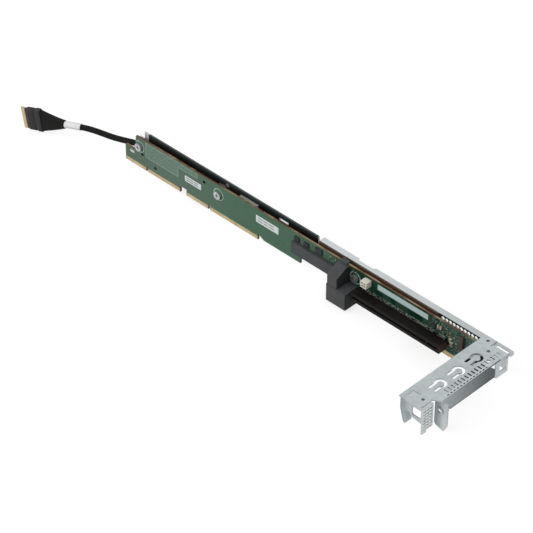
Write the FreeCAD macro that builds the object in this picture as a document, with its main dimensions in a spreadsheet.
"""Riser card for a low server: a long board on a folded side rail, with a slot, a bracket and a cable.

Millimetres. X runs along the board towards the rear bracket, Y points behind the board and Z is up.
The origin is at the wide key notch of the main gold edge: X at its middle, Y at the board's front
face and Z at the bottom of the gold edge.
"""
import FreeCAD, Part
import math
import os
import re
import Sketcher

Vector = FreeCAD.Vector

SIZES = {
    # circuit board
    "board_thickness": 1.6,
    "board_left": -67.3,
    "board_right": 305.2,
    "board_top": 29.4,
    "upper_left": -54.8,
    "left_tab_top": 15.1,
    "notch_width": 6.9,
    "notch_top": 5.7,
    "key_width": 1.9,
    "key_top": 5.4,
    "left_key": -41.85,
    "right_key": 29.65,
    "main_edge_right": 83.9,
    "main_edge_shoulder": 5.6,
    "middle_tab_left": 90.5,
    "middle_tab_right": 129.9,
    "middle_tab_bottom": 2.2,
    "middle_bottom": 12.2,
    "second_edge_left": 247.0,
    "second_edge_right": 287.2,
    "second_key": 258.6,
    "rear_bottom": 5.9,
    "corner_radius": 1.2,
    "tool_hole": 2.6,
    # gold pads of both edges
    "pad_pitch": 1.0,
    "pad_width": 0.7,
    "pad_height": 4.0,
    "pad_thickness": 0.05,
    "pad_margin": 0.4,
    # screws and spacers
    "screw_height": 20.4,
    "left_screw": -50.5,
    "middle_screw": 40.2,
    "right_screw": 187.1,
    "screw_shank": 3.0,
    "screw_clearance": 0.2,
    "screw_head": 7.0,
    "screw_head_height": 2.2,
    "screw_recess": 3.2,
    "spacer_diameter": 5.5,
    # rail
    "sheet": 1.0,
    "board_gap": 3.0,
    "rail_left": -48.8,
    "rail_right": 333.2,
    "rail_bottom": 15.2,
    "rail_ear": 6.5,
    "ear_reach": 3.8,
    "blank_top": 33.7,
    "blank_right": 144.8,
    "flange_depth": 5.7,
    "flange_relief": 0.3,
    "rail_notch_left": 182.5,
    "rail_notch_right": 197.0,
    "rail_notch_depth": 1.9,
    "flange_tip": 335.2,
    "end_frame_depth": 14.8,
    "end_frame_strip": 4.7,
    "end_frame_bar": 4.0,
    "bend_radius": 1.4,
    "edge_bend": 0.9,
    "vent_diameter": 2.9,
    "vent_first": 270.6,
    "vent_pitch": 3.55,
    "vent_count": 10,
    "vent_drop": 2.65,
    "low_vent_drop": 6.4,
    "rail_slot_left": 103.2,
    "rail_slot_length": 9.0,
    "rail_slot_height": 1.6,
    "rail_boss": 3.2,
    "rail_boss_height": 0.6,
    "rail_boss_x": 46.3,
    "rail_boss_z": 30.1,
    "flange_slot_left": 320.6,
    "flange_slot_length": 11.2,
    "flange_slot_start": 0.6,
    "flange_slot_width": 2.6,
    # insulating film and gap pad
    "film_thickness": 0.2,
    "film_left": -43.8,
    "film_right": 144.2,
    "film_border": 0.9,
    "film_patch_left": 36.7,
    "film_patch_bottom": 25.0,
    "film_patch_width": 7.0,
    "film_patch_height": 3.2,
    "gap_pad_left": 61.2,
    "gap_pad_width": 19.0,
    "gap_pad_height": 10.0,
    # rear bracket
    "plate_front": 307.2,
    "plate_tab": 11.0,
    "plate_tab_reach": 9.0,
    "bracket_end": -84.0,
    "plate_edge": 327.5,
    "plate_corner": -72.5,
    "plate_relief": 0.7,
    "plate_slit": 0.5,
    "grille_plane": 330.2,
    "grille_inner": -72.3,
    "grille_bottom": 10.0,
    "grille_foot": 8.0,
    "grille_foot_width": 5.0,
    "grille_hole_width": 2.6,
    "grille_hole_height": 2.0,
    "grille_first": -81.5,
    "grille_pitch": 3.4,
    "grille_first_row": 12.2,
    "grille_row_pitch": 2.75,
    "grille_rows": 7,
    "grille_columns": 3,
    "flange_end": -67.1,
    "rear_flange_bottom": 17.7,
    "frame_clearance": 0.4,
    "rear_flange_cut": 6.0,
    "screw_tab_plane": -60.2,
    "screw_tab_left": 321.2,
    "screw_tab_bottom": -4.0,
    "screw_tab_top": 24.0,
    "screw_tab_tip": 4.0,
    "screw_tab_hole": 3.6,
    "screw_tab_hole_x": 325.9,
    "screw_tab_hole_z": 13.2,
    "screw_tab_rim": 6.6,
    "screw_tab_rim_height": 0.6,
    "end_wall_left": 309.3,
    "end_wall_bottom": 17.7,
    "front_lip_x": 313.5,
    "front_lip_depth": 6.7,
    "front_lip_bottom": 9.6,
    "front_lip_height": 10.0,
    "lip_notch_top": 22.4,
    "lip_notch_width": 3.8,
    "hexagon_left": 320.4,
    "hexagon_width": 8.4,
    "hexagon_bottom": 21.9,
    "hexagon_height": 7.7,
    "hexagon_cut": 2.0,
    "corner_slit_left": 310.9,
    "corner_slit_first": -78.6,
    "corner_slit_last": -72.1,
    "corner_slit_right": 317.8,
    "corner_slit_width": 0.8,
    "clinch_diameter": 2.6,
    "clinch_depth": 0.5,
    "plate_hole": 2.8,
    "plate_hole_x": 328.0,
    "plate_hole_y": -11.4,
    "tongue_x": 319.6,
    "tongue_first": -53.4,
    "tongue_pitch": 19.4,
    "tongue_count": 3,
    "tongue_radius": 3.8,
    "tongue_cut": 2.2,
    "tongue_neck": 1.6,
    "tongue_drop": 0.7,
    "tongue_length": 5.6,
    "vent_slot_left": 326.2,
    "vent_slot_length": 4.0,
    "vent_slot_width": 1.3,
    "vent_slot_first": -57.5,
    "vent_slot_pitch": 3.55,
    "vent_slot_count": 13,
    "last_slot_first": -8.0,
    "last_slot_count": 3,
    "dash_length": 1.9,
    "dash_width": 0.9,
    "dash_first": -59.8,
    "dash_pitch": 3.42,
    "dash_count": 13,
    # card slot
    "slot_left": 192.4,
    "slot_length": 89.0,
    "slot_depth": 11.25,
    "slot_height": 7.5,
    "slot_bottom": 9.0,
    "slot_foot": 2.6,
    "slot_foot_inset": 1.2,
    "slot_mouth": 1.8,
    "slot_end_wall": 2.2,
    "slot_lip": 1.6,
    "slot_wall": 0.8,
    "slot_floor": 3.4,
    "slot_short_side": 11.65,
    "slot_key": 1.7,
    "contact_pitch": 1.0,
    "contact_width": 0.5,
    "contact_thickness": 0.22,
    "contact_tail": 1.3,
    "contact_clearance": 0.1,
    # guide block and bar
    "block_left": 171.2,
    "block_lower_width": 19.3,
    "block_upper_width": 10.0,
    "block_depth": 14.0,
    "block_bottom": -1.4,
    "block_step": 13.7,
    "block_ledge": 1.0,
    "block_seam": 0.5,
    "block_front_top": 23.2,
    "block_rear_top": 28.7,
    "block_round": 1.0,
    "bar_left": 122.6,
    "bar_depth": 3.0,
    "bar_bottom": 10.8,
    "bar_top": 21.2,
    "bar_lip": 1.1,
    "bar_lip_start": 1.4,
    "peg_diameter": 2.0,
    "peg_clearance": 0.1,
    "clip_start": 1.2,
    "clip_width": 7.0,
    "clip_wall": 1.1,
    "clip_reach": 1.6,
    # power connector
    "power_left": 197.4,
    "power_width": 6.2,
    "power_depth": 5.9,
    "power_bottom": 21.6,
    "power_height": 5.6,
    "power_pin": 0.64,
    "power_pitch": 2.54,
    "power_cell": 2.0,
    "power_floor": 1.6,
    "pin_tail": 1.2,
    # labels
    "label_thickness": 0.1,
    # small parts on the board
    "chip_height": 1.2,
    "capacitor_height": 1.6,
    "tall_height": 2.4,
    # cable and its plugs
    "cable_diameter": 5.0,
    "far_plug_width": 21.5,
    "near_plug_width": 18.0,
    "plug_length": 15.1,
    "plug_thickness": 5.0,
    "plug_chamfer": 0.5,
    "plug_rim": 3.2,
    "plug_rim_height": 0.4,
    "boot_length": 22.3,
    "boot_step": 0.9,
    "boot_neck": 7.4,
    "card_reach": 3.8,
    "card_thickness": 1.0,
    "card_margin": 0.7,
    "card_pad_pitch": 1.0,
    "card_pad_width": 0.6,
    "card_pad_length": 2.6,
    "card_pad_inset": 0.4,
    "wrap_wall": 0.35,
    "wrap_clearance": 0.05,
    "near_plug_nose": 14.0,
    "near_plug_height": 14.4,
    "near_plug_y": 8.6,
    "receptacle_length": 10.0,
    "receptacle_wall": 1.2,
    "receptacle_depth": 4.5,
    "window_clearance": 0.8,
}

# what lies on the board's front: left, bottom, width and height of each piece, and its thickness
ON_BOARD = [
    ("left_label", [(2.2, 14.0, 18.3, 5.5)], "label_thickness"),
    ("middle_label", [(81.8, 16.7, 24.4, 6.7)], "label_thickness"),
    ("right_label", [(210.0, 22.4, 50.2, 4.9)], "label_thickness"),
    ("board_chips", [(124.0, 22.2, 5.0, 4.0), (134.0, 22.2, 5.0, 4.0), (146.0, 22.6, 7.0, 5.0),
                     (264.0, 19.0, 4.0, 4.0)], "chip_height"),
    ("board_capacitors", [(270.5, 21.8, 3.5, 2.8), (283.0, 12.5, 2.8, 3.5), (282.0, 16.2, 2.4, 2.4),
                          (282.0, 20.0, 1.6, 0.8), (282.0, 23.0, 1.6, 0.8), (276.0, 19.5, 0.8, 1.6)],
     "capacitor_height"),
    ("tall_component", [(291.8, 14.2, 4.2, 13.0)], "tall_height"),
]

doc = FreeCAD.newDocument("riser_card")
sheet = doc.addObject("Spreadsheet::Sheet", "Sizes")
for line, (alias, amount) in enumerate(SIZES.items(), 1):
    sheet.set("A%d" % line, alias)
    sheet.set("B%d" % line, str(amount))
    sheet.setAlias("B%d" % line, alias)
doc.recompute()

parts = []


def number(formula):
    """Value of a formula over the sheet's aliases."""
    return float(sheet.evalExpression(str(formula)))


def bound(formula):
    """The same formula, written so that another object of the document can read it."""
    def name(match):
        word = match.group(0)
        return "Sizes." + word if word in SIZES else word
    return re.sub(r"[a-z_]+", name, str(formula))


def new_body(name):
    """A body that may hold several separate solids."""
    body = doc.addObject("PartDesign::Body", name)
    body.AllowCompound = True
    return body


def finish(shape_object, name):
    """Name a finished sub-part after its node."""
    shape_object.Label = name
    parts.append(shape_object)
    return shape_object


def new_sketch(body, name, plane, level="0"):
    """Sketch on a plane of the body's origin: XY looks down Z, XZ looks along Y and YZ along X.

    The level is the plane's own coordinate, so Y for XZ, whose sketches face -Y.
    """
    sketch = body.newObject("Sketcher::SketchObject", name)
    role = plane + "_Plane"
    origin_plane = [item for item in body.Origin.OriginFeatures if item.Role == role][0]
    sketch.AttachmentSupport = (origin_plane, [""])
    sketch.MapMode = "FlatFace"
    sign = "-" if plane == "XZ" else ""
    sketch.setExpression("AttachmentOffset.Base.z", bound(sign + "(" + str(level) + ")"))
    return sketch


def hold(sketch, kind, geometry, vertex, formula):
    """Tie one coordinate of a point to a formula."""
    index = sketch.addConstraint(Sketcher.Constraint(kind, -1, 1, geometry, vertex, number(formula)))
    sketch.setExpression("Constraints[%d]" % index, bound(formula))


def outline(sketch, points):
    """Closed outline of straight lines with every corner tied to two formulas."""
    places = [Vector(number(across), number(along), 0) for across, along in points]
    first = sketch.GeometryCount
    count = len(points)
    for index in range(count):
        sketch.addGeometry(Part.LineSegment(places[index], places[(index + 1) % count]))
    for index in range(count):
        following = first + (index + 1) % count
        sketch.addConstraint(Sketcher.Constraint("Coincident", first + index, 2, following, 1))
    for index, (across, along) in enumerate(points):
        hold(sketch, "DistanceX", first + index, 1, across)
        hold(sketch, "DistanceY", first + index, 1, along)


def rectangle(sketch, left, bottom, width, height):
    """Rectangle from its lower left corner."""
    right = "(%s) + (%s)" % (left, width)
    top = "(%s) + (%s)" % (bottom, height)
    outline(sketch, [(left, bottom), (right, bottom), (right, top), (left, top)])


def circle(sketch, across, along, diameter):
    """Circle with its centre and diameter tied to formulas."""
    centre = Vector(number(across), number(along), 0)
    index = sketch.addGeometry(Part.Circle(centre, Vector(0, 0, 1), number(diameter) / 2))
    hold(sketch, "DistanceX", index, 3, across)
    hold(sketch, "DistanceY", index, 3, along)
    size = sketch.addConstraint(Sketcher.Constraint("Diameter", index, number(diameter)))
    sketch.setExpression("Constraints[%d]" % size, bound(diameter))


def hexagon(sketch, across, along, width):
    """Hexagon with two corners above and below its centre and its width over the flats."""
    half = "(%s) / 2" % width
    corner = "(%s) / sqrt(3)" % width
    outline(sketch, [("(%s) + %s * %d" % (across, half, side), "(%s) + %s * %s" % (along, corner, rise))
                     for side, rise in ((0, 1), (1, 0.5), (1, -0.5), (0, -1), (-1, -0.5), (-1, 0.5))])


def pad(body, sketch, length, backward=False):
    """Raise a sketch along its normal, or against it."""
    feature = body.newObject("PartDesign::Pad", sketch.Name + "_pad")
    feature.Profile = sketch
    feature.Reversed = backward
    feature.setExpression("Length", bound(length))
    sketch.Visibility = False
    doc.recompute()
    return feature


def pocket(body, sketch, length, forward=False):
    """Cut a sketch against its normal, or along it."""
    feature = body.newObject("PartDesign::Pocket", sketch.Name + "_cut")
    feature.Profile = sketch
    feature.Reversed = forward
    feature.setExpression("Length", bound(length))
    doc.recompute()
    return feature


def row(body, feature, sketch, axis, pitch, count):
    """Repeat a feature along an axis of its sketch."""
    pattern = body.newObject("PartDesign::LinearPattern", feature.Name + "_row")
    pattern.Originals = [feature]
    pattern.Direction = (sketch, [axis])
    pattern.Mode = "Spacing"
    pattern.setExpression("Offset", bound(pitch))
    pattern.setExpression("Occurrences", bound(count))
    body.Tip = pattern
    doc.recompute()
    return pattern


def straight_edges(shape, direction, places):
    """Names of the straight edges along a direction that pass through one of the places.

    A place gives formulas for the two other coordinates, and a third pair may limit the middle.
    """
    axis = "xyz".index(direction)
    others = [index for index in range(3) if index != axis]
    wanted = [[number(value) for value in place] for place in places]
    names = []
    for index, edge in enumerate(shape.Edges, 1):
        start, end = edge.Vertexes[0].Point, edge.Vertexes[-1].Point
        span = (end - start).Length
        if span < 1e-3 or edge.Length > span + 1e-4:
            continue
        if any(abs(start[other] - end[other]) > 1e-4 for other in others):
            continue
        middle = (start + end) / 2
        for place in wanted:
            if all(abs(middle[other] - value) < 1e-3 for other, value in zip(others, place)):
                names.append("Edge%d" % index)
    return names


def round_edges(body, direction, places, radius):
    """Fillet on straight edges of the body's last feature."""
    before = body.Tip
    feature = body.newObject("PartDesign::Fillet", body.Name + "_fillet")
    names = straight_edges(before.Shape, direction, places)
    if len(names) < len(places):
        raise RuntimeError(body.Name + " lacks an edge to round at " + str(places))
    feature.Base = (before, names)
    feature.setExpression("Radius", bound(radius))
    doc.recompute()
    if "Invalid" in feature.State:
        raise RuntimeError(body.Name + " cannot round the edge at " + str(places))
    return feature


def group(name, bodies):
    """One node of several separate solids."""
    compound = doc.addObject("Part::Compound", name)
    compound.Links = bodies
    return finish(compound, name)


screws = ["left_screw", "middle_screw", "right_screw"]
web_front = "board_thickness + board_gap"
web_back = "board_thickness + board_gap + sheet"
plate_bottom = "blank_top - 3.5"


def riser_board():
    """Board with both gold edges, their keys, and the holes that screws and pegs pass through."""
    body = new_body("riser_board")
    sketch = new_sketch(body, "board_outline", "XZ")
    key = "key_width / 2"
    notch = "notch_width / 2"
    points = [("board_left", "0")]
    for centre, half, top in (("left_key", key, "key_top"), ("0", notch, "notch_top"),
                              ("right_key", key, "key_top")):
        points += [(centre + " - " + half, "0"), (centre + " - " + half, top)]
        points += [(centre + " + " + half, top), (centre + " + " + half, "0")]
    points += [("main_edge_right", "0"), ("main_edge_right", "main_edge_shoulder"),
               ("middle_tab_left", "middle_tab_bottom"), ("middle_tab_right", "middle_tab_bottom"),
               ("middle_tab_right", "middle_bottom"), ("second_edge_left", "middle_bottom"),
               ("second_edge_left", "0"), ("second_key - " + key, "0"),
               ("second_key - " + key, "key_top"), ("second_key + " + key, "key_top"),
               ("second_key + " + key, "0"), ("second_edge_right", "0"),
               ("second_edge_right", "rear_bottom"), ("board_right", "rear_bottom"),
               ("board_right", "board_top"), ("upper_left", "board_top"),
               ("upper_left", "left_tab_top"), ("board_left", "left_tab_top")]
    outline(sketch, points)
    for place in screws:
        circle(sketch, place, "screw_height", "screw_shank + 2 * screw_clearance")
    for across, along in (("-32.3", "8.0"), ("24.2", "24.1"), ("-47.3", "14.1")):
        circle(sketch, across, along, "tool_hole")
    for along in peg_heights:
        circle(sketch, peg_place, along, "peg_diameter + 2 * peg_clearance")
    for across, along in pin_places:
        hole = "power_pin + 2 * peg_clearance"
        rectangle(sketch, across + " - (%s) / 2" % hole, along + " - (%s) / 2" % hole, hole, hole)
    pad(body, sketch, "board_thickness", backward=True)
    round_edges(body, "y", [("board_left", "left_tab_top"), ("upper_left", "board_top"),
                            ("board_right", "board_top"), ("board_right", "rear_bottom")],
                "corner_radius")
    finish(body, "riser_board")


def pad_row(name, left, right, behind):
    """Row of gold pads between two ends of an edge segment, on one face of the board."""
    body = new_body(name)
    level = "board_thickness" if behind else "0"
    sketch = new_sketch(body, name + "_pad", "XZ", level)
    spare = "mod((%s) - (%s) - pad_width; pad_pitch)" % (right, left)
    rectangle(sketch, "(%s) + (%s) / 2" % (left, spare), "0", "pad_width", "pad_height")
    first = pad(body, sketch, "pad_thickness", backward=behind)
    count = "1 + floor(((%s) - (%s) - pad_width) / pad_pitch)" % (right, left)
    row(body, first, sketch, "H_Axis", "pad_pitch", count)
    return body


def edge_contacts():
    """Gold pads of the main and the second edge."""
    key = "key_width / 2"
    notch = "notch_width / 2"
    main = [("board_left", "left_key - " + key), ("left_key + " + key, "-" + notch),
            (notch, "right_key - " + key), ("right_key + " + key, "main_edge_right")]
    second = [("second_edge_left", "second_key - " + key),
              ("second_key + " + key, "second_edge_right")]
    for node, segments in (("main_edge_contacts", main), ("second_edge_contacts", second)):
        rows = []
        for index, (left, right) in enumerate(segments):
            inner_left = "%s + pad_margin" % left
            inner_right = "%s - pad_margin" % right
            for side in ("front", "back"):
                name = "%s_%s_%d" % (node, side, index)
                rows.append(pad_row(name, inner_left, inner_right, side == "back"))
        group(node, rows)


def board_fasteners():
    """Pan-head screws from the board's front, and the spacers that they draw it onto."""
    heads = []
    spacers = []
    for place in screws:
        body = new_body(place + "_body")
        head = new_sketch(body, place + "_head", "XZ")
        circle(head, place, "screw_height", "screw_head")
        pad(body, head, "screw_head_height")
        shank = new_sketch(body, place + "_shank", "XZ")
        circle(shank, place, "screw_height", "screw_shank")
        pad(body, shank, web_front + " - 0.2", backward=True)
        recess = new_sketch(body, place + "_recess", "XZ", "-screw_head_height")
        rectangle(recess, place + " - screw_recess / 2", "screw_height - 0.35", "screw_recess", "0.7")
        pocket(body, recess, "screw_head_height / 2")
        cross = new_sketch(body, place + "_cross", "XZ", "-screw_head_height")
        rectangle(cross, place + " - 0.35", "screw_height - screw_recess / 2", "0.7", "screw_recess")
        pocket(body, cross, "screw_head_height / 2")
        heads.append(body)
        spacer = new_body(place + "_spacer")
        ring = new_sketch(spacer, place + "_ring", "XZ", "board_thickness")
        hexagon(ring, place, "screw_height", "spacer_diameter")
        circle(ring, place, "screw_height", "screw_shank + 0.1")
        pad(spacer, ring, "board_gap", backward=True)
        spacers.append(spacer)
    group("board_screws", heads)
    group("board_standoffs", spacers)


def side_rail():
    """Folded rail: web behind the board, flange bent back over its right part, end frame bent forward."""
    body = new_body("side_rail")
    web = new_sketch(body, "rail_web", "XZ", web_front)
    flange_top = plate_bottom
    window_left = "near_plug_nose - window_clearance"
    window_right = "near_plug_nose + receptacle_length + window_clearance"
    window_top = "near_plug_height + near_plug_width / 2 + window_clearance + receptacle_wall"
    outline(web, [("left_screw - ear_reach", "rail_bottom"), (window_left, "rail_bottom"),
                  (window_left, window_top), (window_right, window_top),
                  (window_right, "rail_bottom"), ("rail_right", "rail_bottom"),
                  ("rail_right", flange_top), ("blank_right + flange_relief", flange_top),
                  ("blank_right + flange_relief", flange_top + " - 2 * sheet"),
                  ("blank_right", flange_top + " - 2 * sheet"), ("blank_right", "blank_top"),
                  ("rail_left", "blank_top"), ("rail_left", "screw_height + rail_ear"),
                  ("left_screw - ear_reach", "screw_height + rail_ear")])
    rectangle(web, "rail_slot_left", "blank_top - 6.5", "rail_slot_length", "rail_slot_height")
    for place in screws:
        circle(web, place, "screw_height", "screw_shank + 0.1")
    pad(body, web, "sheet", backward=True)
    frame = new_sketch(body, "end_frame", "YZ", "rail_right - sheet")
    front = web_back + " - end_frame_depth"
    left_strip = front + " + end_frame_strip"
    right_strip = web_back + " - 3.2"
    bar_top = "rail_bottom + end_frame_bar"
    strip_top = flange_top + " - 2.5 * sheet"
    outline(frame, [(front, "rail_bottom + 1.5"), (front + " + 1.5", "rail_bottom"),
                    (web_back, "rail_bottom"), (web_back, strip_top), (right_strip, strip_top),
                    (right_strip, bar_top), (left_strip, bar_top), (left_strip, flange_top),
                    (front, flange_top)])
    pad(body, frame, "sheet")
    round_edges(body, "z", [("rail_right", web_back)], "bend_radius")
    flange = new_sketch(body, "rail_flange", "XY", flange_top + " - sheet")
    rear = web_front + " + flange_depth"
    notched = rear + " - rail_notch_depth"
    outline(flange, [("blank_right + flange_relief", web_front), ("flange_tip", web_front),
                     ("flange_tip", rear + " - 2"), ("flange_tip - 2", rear),
                     ("rail_notch_right + rail_notch_depth", rear), ("rail_notch_right", notched),
                     ("rail_notch_left", notched), ("rail_notch_left - rail_notch_depth / 2", rear),
                     ("blank_right + flange_relief", rear)])
    pad(body, flange, "sheet")
    round_edges(body, "x", [(web_front, flange_top)], "bend_radius")
    slot = new_sketch(body, "flange_slot", "XY", flange_top)
    rectangle(slot, "flange_slot_left", web_front + " + flange_slot_start", "flange_slot_length",
              "flange_slot_width")
    pocket(body, slot, "sheet")
    boss = new_sketch(body, "rail_boss", "XZ", web_front)
    hexagon(boss, "rail_boss_x", "rail_boss_z", "rail_boss")
    pad(body, boss, "rail_boss_height")
    vents = new_sketch(body, "rail_vent", "XZ", web_front)
    hexagon(vents, "vent_first", plate_bottom + " - vent_drop", "vent_diameter")
    first = pocket(body, vents, "sheet")
    row(body, first, vents, "H_Axis", "vent_pitch", "vent_count")
    low = new_sketch(body, "rail_low_vent", "XZ", web_front)
    hexagon(low, "vent_first + (vent_count - 1) * vent_pitch", plate_bottom + " - low_vent_drop",
            "vent_diameter")
    pocket(body, low, "sheet")
    finish(body, "side_rail")


def insulation():
    """Black film on the rail's inner face, and the light pad that fills the gap to the board."""
    body = new_body("insulator_film")
    level = web_front + " - film_thickness"
    sketch = new_sketch(body, "film_outline", "XZ", level)
    left = "near_plug_nose - 2 * window_clearance"
    right = "near_plug_nose + receptacle_length + 2 * window_clearance"
    top = "near_plug_height + near_plug_width / 2 + 2 * window_clearance + receptacle_wall"
    bottom = "rail_bottom + film_border"
    outline(sketch, [("film_left", bottom), (left, bottom), (left, top), (right, top),
                     (right, bottom), ("film_right", bottom), ("film_right", "blank_top - 0.5"),
                     ("film_left", "blank_top - 0.5")])
    circle(sketch, "middle_screw", "screw_height", "spacer_diameter + 1")
    rectangle(sketch, "rail_slot_left - 0.6", "blank_top - 7.1", "rail_slot_length + 1.2",
              "rail_slot_height + 1.2")
    rectangle(sketch, "film_patch_left", "film_patch_bottom", "film_patch_width", "film_patch_height")
    circle(sketch, "rail_boss_x", "rail_boss_z", "rail_boss * 1.3")
    pad(body, sketch, "film_thickness", backward=True)
    finish(body, "insulator_film")
    filler = new_body("gap_pad")
    block = new_sketch(filler, "gap_pad_outline", "XZ", "board_thickness")
    rectangle(block, "gap_pad_left", "board_top - gap_pad_height - 0.2", "gap_pad_width",
              "gap_pad_height")
    pad(filler, block, "board_gap - film_thickness", backward=True)
    finish(filler, "gap_pad")


def rear_bracket():
    """Bracket folded from one sheet: top plate, rear flange, screw tab, grille and end wall."""
    body = new_body("rear_bracket")
    top = plate_bottom + " + sheet"
    plate = new_sketch(body, "bracket_plate", "XY", plate_bottom)
    tab_right = "plate_front + plate_tab"
    rail_side = web_front + " - 0.2"
    relief_end = rail_side + " - 3 * plate_relief"
    outline(plate, [("plate_front", "plate_tab_reach"), ("plate_front", "bracket_end + plate_relief"),
                    ("plate_front + 3", "bracket_end"), ("grille_plane", "bracket_end"),
                    ("grille_plane", "grille_inner"), ("plate_edge + plate_slit", "grille_inner"),
                    ("plate_edge + plate_slit", "bracket_end + 1.2 * sheet"),
                    ("plate_edge", "bracket_end + 1.2 * sheet"), ("plate_edge", "plate_corner"),
                    ("plate_edge - 0.8", "plate_corner + 1.4"),
                    ("plate_edge + 1.6", "plate_corner + 3.3"), ("rail_right", "flange_end"),
                    ("rail_right", rail_side), (tab_right + " + plate_relief", rail_side),
                    (tab_right + " + plate_relief", relief_end), (tab_right, relief_end),
                    (tab_right, "plate_tab_reach")])
    pad(body, plate, "sheet")
    flange = new_sketch(body, "rear_flange", "YZ", "rail_right - sheet")
    relief = "rear_flange_bottom + 2 * sheet"
    corner = "screw_tab_bottom + screw_tab_tip + 2.5"
    flange_right = web_back + " - end_frame_depth - frame_clearance"
    outline(flange, [("screw_tab_plane", corner), ("screw_tab_plane + sheet", corner),
                     ("screw_tab_plane + sheet", relief), ("screw_tab_plane + 2.5 * sheet", relief),
                     ("screw_tab_plane + 2.5 * sheet", "rear_flange_bottom"),
                     (flange_right, "rear_flange_bottom"),
                     (flange_right, top + " - rear_flange_cut"),
                     (flange_right + " - rear_flange_cut", top), ("flange_end", top),
                     ("flange_end", top + " - 2 * sheet"), ("screw_tab_plane", "screw_tab_top")])
    pad(body, flange, "sheet")
    tab = new_sketch(body, "screw_tab", "XZ", "screw_tab_plane")
    outline(tab, [("screw_tab_left", "screw_tab_top - 2"),
                  ("screw_tab_left", "screw_tab_bottom + screw_tab_tip"),
                  ("screw_tab_left + 1", "screw_tab_bottom + screw_tab_tip - 1.5"),
                  ("screw_tab_hole_x + screw_tab_tip", "screw_tab_bottom"),
                  ("rail_right", corner), ("rail_right", "screw_tab_top")])
    pad(body, tab, "sheet", backward=True)
    rim = new_sketch(body, "screw_tab_rim", "XZ", "screw_tab_plane")
    circle(rim, "screw_tab_hole_x", "screw_tab_hole_z", "screw_tab_rim")
    pad(body, rim, "screw_tab_rim_height")
    grille = new_sketch(body, "grille", "YZ", "grille_plane - sheet")
    outline(grille, [("bracket_end", "grille_foot"),
                     ("bracket_end + grille_foot_width", "grille_foot"),
                     ("bracket_end + grille_foot_width", "grille_bottom"),
                     ("grille_inner", "grille_bottom"), ("grille_inner", top), ("bracket_end", top)])
    pad(body, grille, "sheet")
    wall = new_sketch(body, "end_wall", "XZ", "bracket_end")
    strip_right = "front_lip_x + sheet"
    notch_right = strip_right + " + lip_notch_width"
    outline(wall, [("front_lip_x - 0.9 * sheet", "front_lip_bottom"), (strip_right, "front_lip_bottom"),
                   (strip_right, "lip_notch_top"), (notch_right, "lip_notch_top"),
                   (notch_right + " + 2 * sheet", "end_wall_bottom + 1.8 * sheet"),
                   ("grille_plane", "end_wall_bottom"), ("grille_plane", top),
                   ("plate_front + 3", top), ("end_wall_left", top + " - 1.8"),
                   ("end_wall_left", "hexagon_bottom"),
                   ("front_lip_x - 2.2 * sheet", "front_lip_bottom + 4.2")])
    left, right = "hexagon_left", "hexagon_left + hexagon_width"
    low, high = "hexagon_bottom", "hexagon_bottom + hexagon_height"
    outline(wall, [(left + " + hexagon_cut / 2", low), (right + " - hexagon_cut", low),
                   (right, low + " + hexagon_cut"), (right, high), (left + " + hexagon_cut", high),
                   (left, high + " - hexagon_cut"), (left, low + " + hexagon_cut / 2")])
    pad(body, wall, "sheet", backward=True)
    lip = new_sketch(body, "front_lip", "YZ", "front_lip_x")
    lip_top = "front_lip_bottom + front_lip_height"
    outline(lip, [("bracket_end", "front_lip_bottom"),
                  ("bracket_end + front_lip_depth", "front_lip_bottom"),
                  ("bracket_end + front_lip_depth", lip_top + " - 0.4 * front_lip_height"),
                  ("bracket_end + 2 * sheet", lip_top), ("bracket_end", lip_top)])
    pad(body, lip, "sheet")
    round_edges(body, "z", [("rail_right", "screw_tab_plane"), ("grille_plane", "bracket_end")],
                "edge_bend")
    round_edges(body, "y", [("rail_right", top)], "edge_bend")
    tongues(body, top)
    slots = new_sketch(body, "vent_slot", "XY", top)
    rectangle(slots, "vent_slot_left", "vent_slot_first", "vent_slot_length", "vent_slot_width")
    row(body, pocket(body, slots, "sheet"), slots, "V_Axis", "vent_slot_pitch", "vent_slot_count")
    last = new_sketch(body, "last_slot", "XY", top)
    rectangle(last, "vent_slot_left", "last_slot_first", "vent_slot_length", "vent_slot_width")
    row(body, pocket(body, last, "sheet"), last, "V_Axis", "vent_slot_pitch", "last_slot_count")
    dashes = new_sketch(body, "vent_dash", "XY", top)
    rectangle(dashes, "rail_right - sheet - dash_width", "dash_first", "dash_width", "dash_length")
    row(body, pocket(body, dashes, "sheet"), dashes, "V_Axis", "dash_pitch", "dash_count")
    hole = new_sketch(body, "screw_tab_hole", "XZ", "screw_tab_plane - screw_tab_rim_height")
    circle(hole, "screw_tab_hole_x", "screw_tab_hole_z", "screw_tab_hole")
    pocket(body, hole, "sheet + screw_tab_rim_height")
    marks = new_sketch(body, "clinch_marks", "XY", top)
    for across, along in (("plate_front + 6.2", "plate_tab_reach - 4"),
                          ("tongue_x + 1.5", "plate_tab_reach - 12.5"),
                          ("tongue_x + 2.9", "plate_corner - 2.6")):
        circle(marks, across, along, "clinch_diameter")
    pocket(body, marks, "clinch_depth")
    cuts = new_sketch(body, "plate_cuts", "XY", top)
    circle(cuts, "plate_hole_x", "plate_hole_y", "plate_hole")
    slit_left, slit_last, width = "corner_slit_left", "corner_slit_last", "corner_slit_width"
    outline(cuts, [(slit_left, "corner_slit_first"), (slit_left + " + " + width, "corner_slit_first"),
                   (slit_left + " + " + width, slit_last + " - " + width),
                   ("corner_slit_right", slit_last + " - " + width), ("corner_slit_right", slit_last),
                   (slit_left, slit_last)])
    pocket(body, cuts, "sheet")
    for column in range(int(SIZES["grille_columns"])):
        holes = new_sketch(body, "grille_hole_%d" % column, "YZ", "grille_plane")
        rectangle(holes, "grille_first + %d * grille_pitch - grille_hole_width / 2" % column,
                  "grille_first_row - grille_hole_height / 2", "grille_hole_width",
                  "grille_hole_height")
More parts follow.
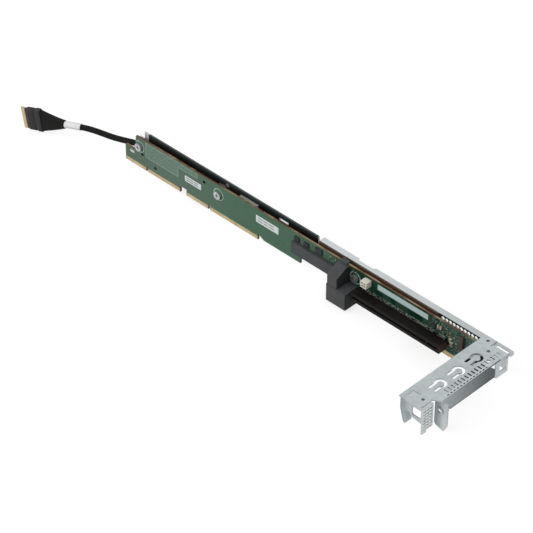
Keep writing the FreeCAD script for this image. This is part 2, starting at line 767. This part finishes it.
        row(body, pocket(body, holes, "sheet"), holes, "V_Axis", "grille_row_pitch", "grille_rows")
    finish(body, "rear_bracket")


def tongues(body, level):
    """Keyhole cuts that each free a round-ended spring tongue, its neck running towards -Y."""
    sketch = new_sketch(body, "tongue_cut", "XY", level)
    outer = "(tongue_radius + tongue_cut / 2)"
    inner = "(tongue_radius - tongue_cut / 2)"
    reach = "(tongue_neck + tongue_cut)"
    end = "tongue_first - tongue_radius - tongue_length"
    outer_join = "tongue_first - sqrt(%s^2 - %s^2)" % (outer, reach)
    inner_join = "tongue_first - sqrt(%s^2 - tongue_neck^2)" % inner
    corners = [("tongue_x + " + reach, outer_join), ("tongue_x + " + reach, end),
               ("tongue_x + tongue_neck", end), ("tongue_x + tongue_neck", inner_join),
               ("tongue_x - tongue_neck", inner_join), ("tongue_x - tongue_neck", end),
               ("tongue_x - " + reach, end), ("tongue_x - " + reach, outer_join)]
    places = [Vector(number(across), number(along), 0) for across, along in corners]
    lines = [sketch.addGeometry(Part.LineSegment(places[index], places[index + 1]))
             for index in (0, 1, 2, 4, 5, 6)]
    for index, line in zip((0, 1, 2, 4, 5, 6), lines):
        hold(sketch, "DistanceX", line, 1, corners[index][0])
        hold(sketch, "DistanceY", line, 1, corners[index][1])
    for line, following in ((0, 1), (1, 2), (3, 4), (4, 5)):
        sketch.addConstraint(Sketcher.Constraint("Coincident", lines[line], 2, lines[following], 1))
    for line, index in ((2, 3), (5, 7)):
        hold(sketch, "DistanceX", lines[line], 2, corners[index][0])
        hold(sketch, "DistanceY", lines[line], 2, corners[index][1])
    for radius, first, last in ((outer, (0, 1), (5, 2)), (inner, (2, 2), (3, 1))):
        begin = sketch.getPoint(lines[first[0]], first[1])
        finish_at = sketch.getPoint(lines[last[0]], last[1])
        top = Vector(number("tongue_x"), number("tongue_first") + number(radius), 0)
        arc = sketch.addGeometry(Part.Arc(begin, top, finish_at))
        starts_right = (sketch.getPoint(arc, 1) - begin).Length < 1e-3
        ends = (1, 2) if starts_right else (2, 1)
        sketch.addConstraint(Sketcher.Constraint("Coincident", arc, ends[0], lines[first[0]], first[1]))
        sketch.addConstraint(Sketcher.Constraint("Coincident", arc, ends[1], lines[last[0]], last[1]))
        hold(sketch, "DistanceY", arc, 3, "tongue_first")
    row(body, pocket(body, sketch, "sheet"), sketch, "V_Axis", "tongue_pitch", "tongue_count")
    for name, plane, feature in (("tongue_dish", level, pocket), ("tongue_back", plate_bottom, pad)):
        disc = new_sketch(body, name, "XY", plane)
        circle(disc, "tongue_x", "tongue_first", "2 * " + inner)
        if feature is pad:
            made = pad(body, disc, "tongue_drop", backward=True)
        else:
            made = pocket(body, disc, "tongue_drop")
        row(body, made, disc, "V_Axis", "tongue_pitch", "tongue_count")


def slot_housing():
    """Card slot housing: mouth with a key, contact chamber behind it and a narrower foot."""
    body = new_body("slot_housing")
    middle = "slot_bottom + slot_height / 2"
    shell = new_sketch(body, "slot_shell", "XZ", "-slot_depth")
    rectangle(shell, "slot_left", "slot_bottom", "slot_length", "slot_height")
    pad(body, shell, "slot_depth - slot_foot", backward=True)
    foot = new_sketch(body, "slot_foot", "XZ", "-slot_foot")
    rectangle(foot, "slot_left + 1", "slot_bottom + slot_foot_inset", "slot_length - 2",
              "slot_height - 2 * slot_foot_inset")
    pad(body, foot, "slot_foot", backward=True)
    key_right = "slot_left + slot_length - slot_short_side"
    key_left = key_right + " - slot_key"
    inner_left = "slot_left + slot_end_wall"
    inner_right = "slot_left + slot_length - slot_end_wall"
    chamber_half = "slot_height / 2 - slot_wall"
    for name, left, right in (("long", inner_left, key_left), ("short", key_right, inner_right)):
        width = "(%s) - (%s)" % (right, left)
        mouth = new_sketch(body, "slot_mouth_" + name, "XZ", "-slot_depth")
        rectangle(mouth, left, middle + " - slot_mouth / 2", width, "slot_mouth")
        pocket(body, mouth, "slot_depth - slot_floor")
        for side, low in (("upper", middle + " + slot_mouth / 2 - 0.1"),
                          ("lower", middle + " - (" + chamber_half + ")")):
            chamber = new_sketch(body, "slot_chamber_%s_%s" % (name, side), "XZ",
                                 "-slot_depth + slot_lip")
            rectangle(chamber, left + " + 0.5", low, width + " - 1",
                      chamber_half + " - slot_mouth / 2 + 0.1")
            pocket(body, chamber, "slot_depth - slot_lip - slot_floor")
            gap_low = middle + " + slot_height / 2 - slot_foot_inset"
            if side == "lower":
                gap_low = "slot_bottom + slot_wall"
            passage = new_sketch(body, "slot_passage_%s_%s" % (name, side), "XZ", "-slot_floor")
            rectangle(passage, left + " + 0.5", gap_low, width + " - 1",
                      "slot_foot_inset - slot_wall")
            pocket(body, passage, "slot_floor - slot_foot")
    finish(body, "slot_housing")


def contact_row(name, left, count, upper):
    """Row of spring contacts: solder tail, leg along the foot and a bow into the card's mouth."""
    body = new_body(name)
    sketch = new_sketch(body, name + "_shape", "YZ", left)
    middle = "slot_bottom + slot_height / 2"
    sign = " + " if upper else " - "
    leg = "(slot_height / 2 - slot_foot_inset + contact_clearance)"
    outer = leg + " + contact_thickness"
    tip = "(slot_mouth / 2 - 0.35)"
    bend = "-slot_depth + slot_lip + 3.4"
    mouth = "-slot_depth + slot_lip + 1"
    shape = [("0", leg), (bend, leg), (mouth, tip), (bend, outer), ("-contact_thickness", outer),
             ("0", leg + " + contact_tail")]
    outline(sketch, [(across, middle + sign + "(" + along + ")") for across, along in shape])
    first = pad(body, sketch, "contact_width")
    row(body, first, sketch, "N_Axis", "contact_pitch", count)
    return body


def slot_contacts():
    """All contacts of the card slot, in two rows on each side of the key."""
    key_right = "slot_left + slot_length - slot_short_side"
    start = "slot_left + slot_end_wall + 0.9"
    long_side = "(slot_length - slot_short_side - slot_key - slot_end_wall - 1.8)"
    short_side = "(slot_short_side - slot_end_wall - 1.8)"
    rows = []
    for upper in (True, False):
        side = "upper" if upper else "lower"
        count = "1 + floor((%s - contact_width) / contact_pitch)"
        rows.append(contact_row("long_%s_contacts" % side, start, count % long_side, upper))
        rows.append(contact_row("short_%s_contacts" % side, key_right + " + 0.9",
                                count % short_side, upper))
    group("slot_contacts", rows)


def guide_block():
    """Plastic guide block with a stepped front and a thin bar that covers the board's lower edge."""
    body = new_body("guide_block")
    lower = new_sketch(body, "block_lower", "YZ", "block_left - block_ledge")
    front = "-block_depth - block_seam"
    outline(lower, [("0", "block_bottom"), ("0", "block_step"), (front, "block_step"),
                    (front, "block_bottom")])
    pad(body, lower, "block_lower_width + block_ledge")
    upper = new_sketch(body, "block_upper", "YZ", "block_left")
    outline(upper, [("0", "block_step"), ("0", "block_rear_top"), ("-block_depth * 0.3", "block_rear_top"),
                    ("-block_depth", "block_front_top"), ("-block_depth", "block_step")])
    pad(body, upper, "block_upper_width")
    clip = new_sketch(body, "block_clip", "YZ", "block_left + clip_start")
    crown = "board_top + clip_wall"
    hook = "board_thickness + clip_wall"
    inside = "board_thickness + peg_clearance"
    outline(clip, [("-clip_wall", "block_rear_top - clip_wall"), ("-clip_wall", crown), (hook, crown),
                   (hook, "board_top - clip_reach"), (inside, "board_top - clip_reach"),
                   (inside, "board_top + peg_clearance"), ("0", "board_top + peg_clearance"),
                   ("0", "block_rear_top - clip_wall")])
    pad(body, clip, "clip_width")
    bar = new_sketch(body, "block_bar", "XZ", "-bar_depth")
    rectangle(bar, "bar_left", "bar_bottom", "block_left - bar_left", "bar_top - bar_bottom")
    pad(body, bar, "bar_depth", backward=True)
    lip = new_sketch(body, "bar_lip", "XZ")
    rectangle(lip, "middle_tab_right + bar_lip_start", "bar_bottom",
              "block_left - middle_tab_right - bar_lip_start", "bar_lip")
    pad(body, lip, "board_thickness", backward=True)
    pegs = new_sketch(body, "block_pegs", "XZ")
    for along in peg_heights:
        circle(pegs, peg_place, along, "peg_diameter")
    pad(body, pegs, "board_thickness", backward=True)
    right = "block_left + block_lower_width"
    shoulder = "block_left + block_upper_width"
    round_edges(body, "z", [("block_left - block_ledge", front), (right, front),
                            (shoulder, "-block_depth")], "block_round")
    finish(body, "guide_block")


def power_connector():
    """Two by two header: square shell with four pins that pass through the board."""
    body = new_body("power_connector")
    shell = new_sketch(body, "power_shell", "XZ", "-power_depth")
    rectangle(shell, "power_left", "power_bottom", "power_width", "power_height")
    pad(body, shell, "power_depth", backward=True)
    inside = new_sketch(body, "power_inside", "XZ", "-power_depth")
    for across, along in pin_places:
        rectangle(inside, across + " - power_cell / 2", along + " - power_cell / 2", "power_cell",
                  "power_cell")
    pocket(body, inside, "power_depth - power_floor")
    bores = new_sketch(body, "power_bores", "XZ", "-power_floor")
    for across, along in pin_places:
        rectangle(bores, across + " - power_pin / 2", along + " - power_pin / 2", "power_pin", "power_pin")
    pocket(body, bores, "power_floor")
    finish(body, "power_connector")
    pins = new_body("power_pins")
    sketch = new_sketch(pins, "power_pin_circles", "XZ", "-power_depth + 1.4")
    for across, along in pin_places:
        rectangle(sketch, across + " - power_pin / 2", along + " - power_pin / 2", "power_pin", "power_pin")
    pad(pins, sketch, "power_depth - 1.4 + board_thickness + pin_tail", backward=True)
    finish(pins, "power_pins")


def on_board(name, outlines, height):
    """Parts that lie on the board's front: their outlines' left, bottom, width and height, raised."""
    body = new_body(name)
    sketch = new_sketch(body, name + "_outline", "XZ")
    for left, bottom, width, tall in outlines:
        rectangle(sketch, left, bottom, width, tall)
    pad(body, sketch, height)
    finish(body, name)


def plug(name, width, nose, direction):
    """Flat plug on a cable: shell and tapered boot, built from the nose along -X and turned as a whole."""
    placement = FreeCAD.Placement(nose, direction)
    shell = new_body(name + "_shell")
    front = new_sketch(shell, name + "_shell_outline", "XZ", "-plug_thickness / 2")
    half = width + " / 2"
    outline(front, [("-plug_chamfer", "-" + half), ("-plug_length", "-" + half), ("-plug_length", half),
                    ("-plug_chamfer", half), ("0", half + " - plug_chamfer"),
                    ("0", "-" + half + " + plug_chamfer")])
    pad(shell, front, "plug_thickness", backward=True)
    rim = new_sketch(shell, name + "_rim", "XZ", "-plug_thickness / 2 - plug_rim_height")
    rectangle(rim, "-plug_length", "-" + half, "plug_rim", width)
    pad(shell, rim, "plug_thickness + 2 * plug_rim_height", backward=True)
    shell.Placement = placement
    finish(shell, name + "_shell")
    boot = new_body(name + "_boot")
    side = new_sketch(boot, name + "_boot_outline", "XZ", "-plug_thickness / 2")
    neck = "boot_neck / 2"
    back = "-plug_length - boot_length"
    outline(side, [("-plug_length", "-" + half + " + boot_step"), (back, "-" + neck), (back, neck),
                   ("-plug_length", half + " - boot_step")])
    pad(boot, side, "plug_thickness", backward=True)
    boot.Placement = placement
    finish(boot, name + "_boot")
    return placement


def cable_pipe(name, route, diameter, hollow=0.0):
    """Round cable along straight runs joined by tangent arcs as large as the runs allow."""
    edges, radii = rounded_route(route)
    return pipe(name, edges, diameter, hollow), radii


def rounded_route(route):
    """Edges of a route: each corner becomes an arc of 0.45 of its shorter run over the half turn."""
    edges = []
    radii = []
    start = route[0]
    for before, corner, after in zip(route, route[1:], route[2:]):
        incoming = (corner - before).normalize()
        outgoing = (after - corner).normalize()
        shorter = min((corner - before).Length, (after - corner).Length)
        reach = 0.45 * shorter
        turn = incoming.getAngle(outgoing)
        radius = reach / math.tan(turn / 2)
        entry = corner - incoming * reach
        leave = corner + outgoing * reach
        inward = (outgoing - incoming).normalize()
        crown = corner + inward * (radius / math.cos(turn / 2) - radius)
        edges.append(Part.LineSegment(start, entry).toShape())
        edges.append(Part.Arc(entry, crown, leave).toShape())
        start = leave
        radii.append(round(radius, 1))
    edges.append(Part.LineSegment(start, route[-1]).toShape())
    return edges, radii


def pipe(name, edges, diameter, hollow=0.0):
    """Solid swept round the edges, with a bore if it is hollow."""
    first = edges[0]
    start = first.valueAt(first.FirstParameter)
    along = first.tangentAt(first.FirstParameter)
    path = Part.Wire(edges)

    def sweep(size):
        ring = Part.Wire(Part.Circle(start, along, size / 2).toShape())
        return path.makePipeShell([ring], True, True)
    shape = sweep(diameter)
    if hollow:
        shape = shape.cut(sweep(hollow))
    feature = doc.addObject("Part::Feature", name)
    feature.Shape = shape
    section = math.pi * (diameter ** 2 - hollow ** 2) / 4
    print(name, "volume over section times length:", round(shape.Volume / (section * path.Length), 4),
          "length", round(path.Length, 1))
    return finish(feature, name)


def paddle(placement):
    """Edge card in the far plug's mouth, with gold pads on both faces."""
    card = new_body("paddle_card")
    sketch = new_sketch(card, "paddle_outline", "XZ", "-card_thickness / 2")
    bottom = "-far_plug_width / 2 + card_margin"
    rectangle(sketch, "0", bottom, "card_reach", "far_plug_width - 2 * card_margin")
    pad(card, sketch, "card_thickness", backward=True)
    card.Placement = placement
    finish(card, "paddle_card")
    rows = []
    for side, level in (("front", "-card_thickness / 2"), ("back", "card_thickness / 2")):
        body = new_body("paddle_pads_" + side)
        first = new_sketch(body, "paddle_pad_" + side, "XZ", level)
        rectangle(first, "card_reach - card_pad_inset - card_pad_length", bottom + " + card_pad_inset",
                  "card_pad_length", "card_pad_width")
        made = pad(body, first, "pad_thickness", backward=side == "back")
        span = "far_plug_width - 2 * card_margin - 2 * card_pad_inset - card_pad_width"
        row(body, made, first, "V_Axis", "card_pad_pitch", "1 + floor((%s) / card_pad_pitch)" % span)
        body.Placement = placement
        rows.append(body)
    group("paddle_contacts", rows)


def cable():
    """Cable from the near plug behind the board to the far plug, in a held and a free stretch."""
    near_nose = Vector(number("near_plug_nose"), number("near_plug_y"), number("near_plug_height"))
    plug("near_plug", "near_plug_width", near_nose, FreeCAD.Rotation())
    far_axis = Vector(-0.943, -0.303, -0.139).normalize()
    across = far_axis.cross(Vector(0, 0, 1)).normalize()
    upward = across.cross(far_axis).normalize()
    far_turn = FreeCAD.Rotation(FreeCAD.Matrix(far_axis.x, -across.x, upward.x, 0,
                                               far_axis.y, -across.y, upward.y, 0,
                                               far_axis.z, -across.z, upward.z, 0, 0, 0, 0, 1))
    reach = number("plug_length + boot_length")
    far_neck = Vector(-123.0, -15.4, 13.6)
    far_nose = far_neck + far_axis * reach
    paddle(plug("far_plug", "far_plug_width", far_nose, far_turn))
    near_neck = near_nose - Vector(reach, 0, 0)
    exit_point = Vector(-54.8, 8.4, 13.4)
    held = [near_neck, Vector(-34.0, near_neck.y, near_neck.z), Vector(-45.6, 8.6, 13.9), exit_point]
    free = [exit_point, Vector(-64.0, 8.2, 12.9), Vector(-73.0, 4.9, 12.3), Vector(-83.0, 0.7, 12.5),
            Vector(-93.0, -3.3, 14.0), Vector(-103.0, -7.6, 15.3), far_neck - far_axis * 10, far_neck]
    diameter = number("cable_diameter")
    held_pipe, held_radii = cable_pipe("held_cable", held, diameter)
    free_pipe, free_radii = cable_pipe("free_cable", free, diameter)
    print("cable radii", held_radii, free_radii)
    edges, radii = rounded_route(free)
    bore = diameter + 2 * number("wrap_clearance")
    pipe("cable_wrap", edges[-2:], bore + 2 * number("wrap_wall"), bore)


def cable_receptacle():
    """Connector on the board's back, with a slot that the near plug's card goes into."""
    body = new_body("cable_receptacle")
    height = "near_plug_width + 2 * receptacle_wall"
    back = "near_plug_y + plug_thickness / 2"
    block = new_sketch(body, "receptacle_outline", "XZ", "board_thickness")
    rectangle(block, "near_plug_nose", "near_plug_height - (" + height + ") / 2",
              "receptacle_length", height)
    pad(body, block, back + " - board_thickness", backward=True)
    mouth = new_sketch(body, "receptacle_mouth", "YZ", "near_plug_nose")
    rectangle(mouth, "near_plug_y - card_thickness / 2 - 0.2",
              "near_plug_height - near_plug_width / 2 + 1", "card_thickness + 0.4", "near_plug_width - 2")
    pocket(body, mouth, "receptacle_depth", forward=True)
    finish(body, "cable_receptacle")


peg_place = "block_left + block_upper_width / 2"
peg_heights = ["block_step + 3", "block_front_top + 1"]
pin_places = []
for side in ("-", "+"):
    for level in ("-", "+"):
        pin_places.append(("power_left + power_width / 2 %s power_pitch / 2" % side,
                           "power_bottom + power_height / 2 %s power_pitch / 2" % level))

riser_board()
edge_contacts()
board_fasteners()
side_rail()
insulation()
rear_bracket()
slot_housing()
slot_contacts()
guide_block()
power_connector()
for name, outlines, height in ON_BOARD:
    on_board(name, outlines, height)
cable_receptacle()
cable()
doc.recompute()

for item in doc.Objects:
    if "Invalid" in item.State or "Error" in item.State:
        raise RuntimeError(item.Name + " failed: " + str(item.State))
for item in doc.Objects:
    if item.TypeId == "PartDesign::Pocket" and item.Shape.Volume >= item.BaseFeature.Shape.Volume:
        raise RuntimeError(item.Name + " cuts nothing")
os.makedirs("parts", exist_ok=True)
for item in parts:
    if item.Shape.isNull() or not item.Shape.isValid():
        raise RuntimeError(item.Label + " has no valid shape")
    item.Shape.exportStep("parts/" + item.Label + ".step")
print(len(parts), "sub-parts written")
